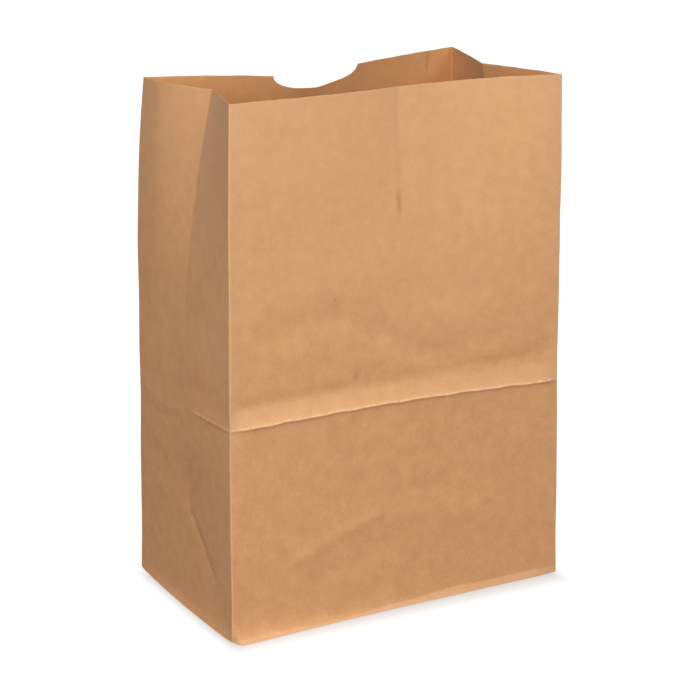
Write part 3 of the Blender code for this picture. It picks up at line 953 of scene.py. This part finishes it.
def stage_material(name, colour, glow):
    """Floor: it takes the bag's shadow, and a glow that only the camera sees makes it
    white. That glow is dim close round the bag, so that the shadow shows there; the dim box is
    itself a painted shadow."""
    material = bpy.data.materials.new(name)
    material.use_nodes = True
    tree = material.node_tree
    shader = tree.nodes["Principled BSDF"]
    shader.inputs["Base Color"].default_value = colour
    shader.inputs["Roughness"].default_value = 1.0
    shader.inputs["Specular IOR Level"].default_value = 0.0
    light = tree.nodes.new("ShaderNodeLightPath")
    place = tree.nodes.new("ShaderNodeTexCoord")
    centred = tree.nodes.new("ShaderNodeVectorMath")
    centred.operation = 'SUBTRACT'
    centred.inputs[1].default_value = FLOOR_SHADOW_CENTRE
    beside = tree.nodes.new("ShaderNodeVectorMath")
    beside.operation = 'ABSOLUTE'
    past = tree.nodes.new("ShaderNodeVectorMath")
    past.operation = 'SUBTRACT'
    past.inputs[1].default_value = FLOOR_SHADOW_HALF
    outside = tree.nodes.new("ShaderNodeVectorMath")
    outside.operation = 'MAXIMUM'
    outside.inputs[1].default_value = (0.0, 0.0, 0.0)
    measured = tree.nodes.new("ShaderNodeVectorMath")
    measured.operation = 'DIVIDE'
    measured.inputs[1].default_value = FLOOR_SHADOW_REACH
    away = tree.nodes.new("ShaderNodeVectorMath")
    away.operation = 'LENGTH'
    tree.links.new(place.outputs["Object"], centred.inputs[0])
    tree.links.new(centred.outputs["Vector"], beside.inputs[0])
    tree.links.new(beside.outputs["Vector"], past.inputs[0])
    tree.links.new(past.outputs["Vector"], outside.inputs[0])
    tree.links.new(outside.outputs["Vector"], measured.inputs[0])
    tree.links.new(measured.outputs["Vector"], away.inputs[0])
    glowing = tree.nodes.new("ShaderNodeEmission")
    glowing.inputs["Color"].default_value = FLOOR_GLOW
    # Painted shadow: the glow the camera sees falls to FLOOR_SHADOW_GLOW in the box round the bag
    far = ranged(tree, away.outputs["Value"], 0.0, 1.0, glow, 1.0)
    tree.links.new(far, glowing.inputs["Strength"])
    none = tree.nodes.new("ShaderNodeEmission")
    none.inputs["Strength"].default_value = 0.0
    chosen = tree.nodes.new("ShaderNodeMixShader")
    both = tree.nodes.new("ShaderNodeAddShader")
    tree.links.new(light.outputs["Is Camera Ray"], chosen.inputs[0])
    tree.links.new(none.outputs[0], chosen.inputs[1])
    tree.links.new(glowing.outputs[0], chosen.inputs[2])
    tree.links.new(shader.outputs[0], both.inputs[0])
    tree.links.new(chosen.outputs[0], both.inputs[1])
    tree.links.new(both.outputs[0], tree.nodes["Material Output"].inputs["Surface"])
    return material


def white_stage():
    """A wide white floor under the bag."""
    mesh = bpy.data.meshes.new("white_floor")
    half = FLOOR_SIZE / 2
    low = -FLOOR_GAP
    corners = [(-half, -half, low), (half, -half, low), (half, half, low), (-half, half, low)]
    mesh.from_pydata(corners, [], [(0, 1, 2, 3)])
    mesh.materials.append(stage_material("white floor", FLOOR_COLOUR, FLOOR_SHADOW_GLOW))
    floor = bpy.data.objects.new("white_floor", mesh)
    bpy.context.scene.collection.objects.link(floor)


def white_world(strength):
    """Soft light from all round; the camera sees plain white."""
    world = bpy.data.worlds.new("white room")
    bpy.context.scene.world = world
    world.use_nodes = True
    tree = world.node_tree
    room = tree.nodes["Background"]
    room.inputs["Color"].default_value = (1.0, 1.0, 1.0, 1.0)
    room.inputs["Strength"].default_value = strength
    seen = tree.nodes.new("ShaderNodeBackground")
    seen.inputs["Color"].default_value = (1.0, 1.0, 1.0, 1.0)
    seen.inputs["Strength"].default_value = 1.0
    light = tree.nodes.new("ShaderNodeLightPath")
    chosen = tree.nodes.new("ShaderNodeMixShader")
    tree.links.new(light.outputs["Is Camera Ray"], chosen.inputs[0])
    tree.links.new(room.outputs[0], chosen.inputs[1])
    tree.links.new(seen.outputs[0], chosen.inputs[2])
    tree.links.new(chosen.outputs[0], tree.nodes["World Output"].inputs["Surface"])


def soft_lamp(name, place, target, size, watts, colour):
    """A square soft box that faces a point of the bag."""
    lamp = bpy.data.lights.new(name, 'AREA')
    lamp.shape = 'SQUARE'
    lamp.size = size
    lamp.energy = watts
    lamp.color = colour
    holder = bpy.data.objects.new(name, lamp)
    bpy.context.scene.collection.objects.link(holder)
    facing = (Vector(target) - Vector(place)).to_track_quat('-Z', 'Y')
    holder.matrix_world = Matrix.Translation(place) @ facing.to_matrix().to_4x4()


def photo_camera():
    """The camera, at the photograph's angle, distance and lens."""
    azimuth = math.radians(CAMERA_AZIMUTH)
    elevation = math.radians(CAMERA_ELEVATION)
    level = math.cos(elevation)
    away = Vector((math.sin(azimuth) * level, -math.cos(azimuth) * level, math.sin(elevation)))
    camera = bpy.data.cameras.new("photo camera")
    camera.lens = CAMERA_LENS
    camera.sensor_width = CAMERA_SENSOR
    holder = bpy.data.objects.new("photo camera", camera)
    bpy.context.scene.collection.objects.link(holder)
    facing = (-away).to_track_quat('-Z', 'Y')
    place = CAMERA_TARGET + away * CAMERA_DISTANCE
    holder.matrix_world = Matrix.Translation(place) @ facing.to_matrix().to_4x4()
    bpy.context.scene.camera = holder


def paper_bag():
    """The bag: its sheet, and the layers pasted and folded at its bottom."""
    fibres = kraft_fibre_group()
    wall_paper = kraft_paper("kraft paper", fibres, WALL_CLOUD, WALL_RELIEF)
    flap_paper = kraft_paper("kraft paper, pasted flaps", fibres, FLAP_CLOUD, FLAP_RELIEF)
    # The inner side's paper has painted light in its colours
    inside_paper_painted_light = kraft_paper(
        "kraft paper, inner side, painted light", fibres, WALL_CLOUD, WALL_RELIEF, INSIDE_DARK_PAINTED_LIGHT, INSIDE_PALE_PAINTED_LIGHT,
    )
    bag_sheet(wall_paper, inside_paper_painted_light)
    bottom_flap("front_bottom_flap", -1, PAPER_THICKNESS, flap_paper)
    bottom_flap("back_bottom_flap", 1, 0.0, flap_paper)
    floor_inside = BOTTOM_RISE + PAPER_THICKNESS
    end_flap("left_end_flap", -1, floor_inside, flap_paper)
    end_flap("right_end_flap", 1, floor_inside, flap_paper)


bpy.context.scene.view_settings.view_transform = 'Standard'
paper_bag()
white_stage()
white_world(ROOM_LIGHT)
for lamp_row in LAMPS:
    soft_lamp(*lamp_row)
photo_camera()
